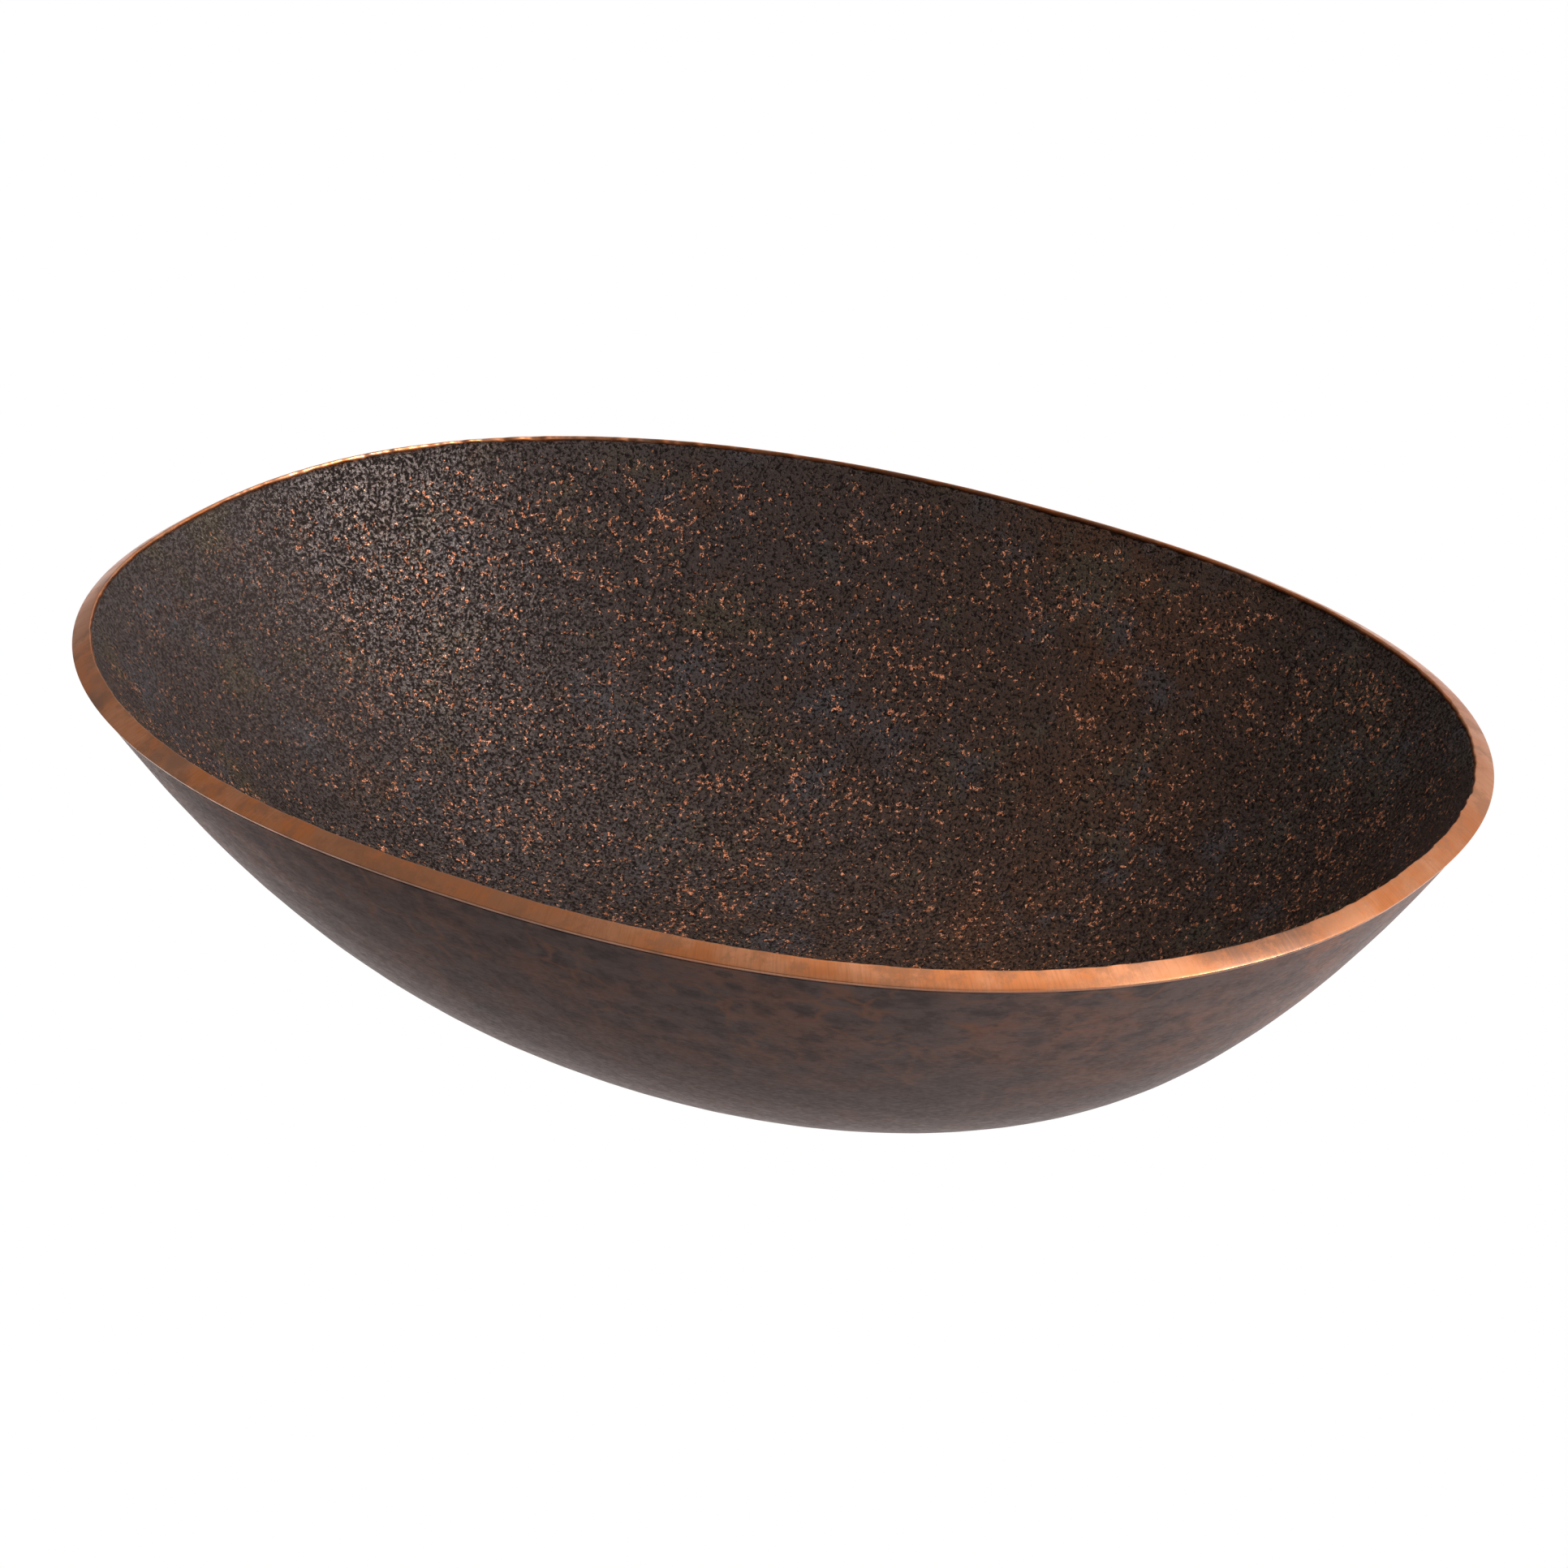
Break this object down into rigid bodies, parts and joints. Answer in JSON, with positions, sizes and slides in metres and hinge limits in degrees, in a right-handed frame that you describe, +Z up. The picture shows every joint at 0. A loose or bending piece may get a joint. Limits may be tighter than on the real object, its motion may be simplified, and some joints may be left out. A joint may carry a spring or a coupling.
{
  "type": "hammered copper bowl",
  "caption": "Oval hammered copper bowl with a double wall, a dark peened inside, a flared side and a bright flat rim.",
  "frame": {"origin": "on the surface that the bowl stands on, under the middle of its opening", "axes": "+X along the long axis of the oval, +Y along its short axis, +Z up out of the opening"},
  "size_m": [0.4566, 0.3284, 0.1191],
  "materials": {
    "shell_patina": "satin, waxed brown patina over hammered copper",
    "liner_patina": "rough dark patina over peened copper, bare on its high spots",
    "bright_copper": "brushed, bright, with patches of tarnish",
    "braze": "as brazed",
    "bare_copper": "plain rolled copper",
    "felt": "dark wool felt"
  },
  "bodies": {
    "root": {"outer_shell": "shell_patina", "inner_liner": "liner_patina", "rim_strip": "bright_copper", "shell_braze_fillet": "braze", "liner_braze_fillet": "braze", "wall_spacer_1": "bare_copper", "wall_spacer_2": "bare_copper", "wall_spacer_3": "bare_copper", "wall_spacer_4": "bare_copper", "floor_spacer": "bare_copper", "vent_plug": "bare_copper", "felt_pad_1": "felt", "felt_pad_2": "felt", "felt_pad_3": "felt", "felt_pad_4": "felt"}
  },
  "joints": []
}
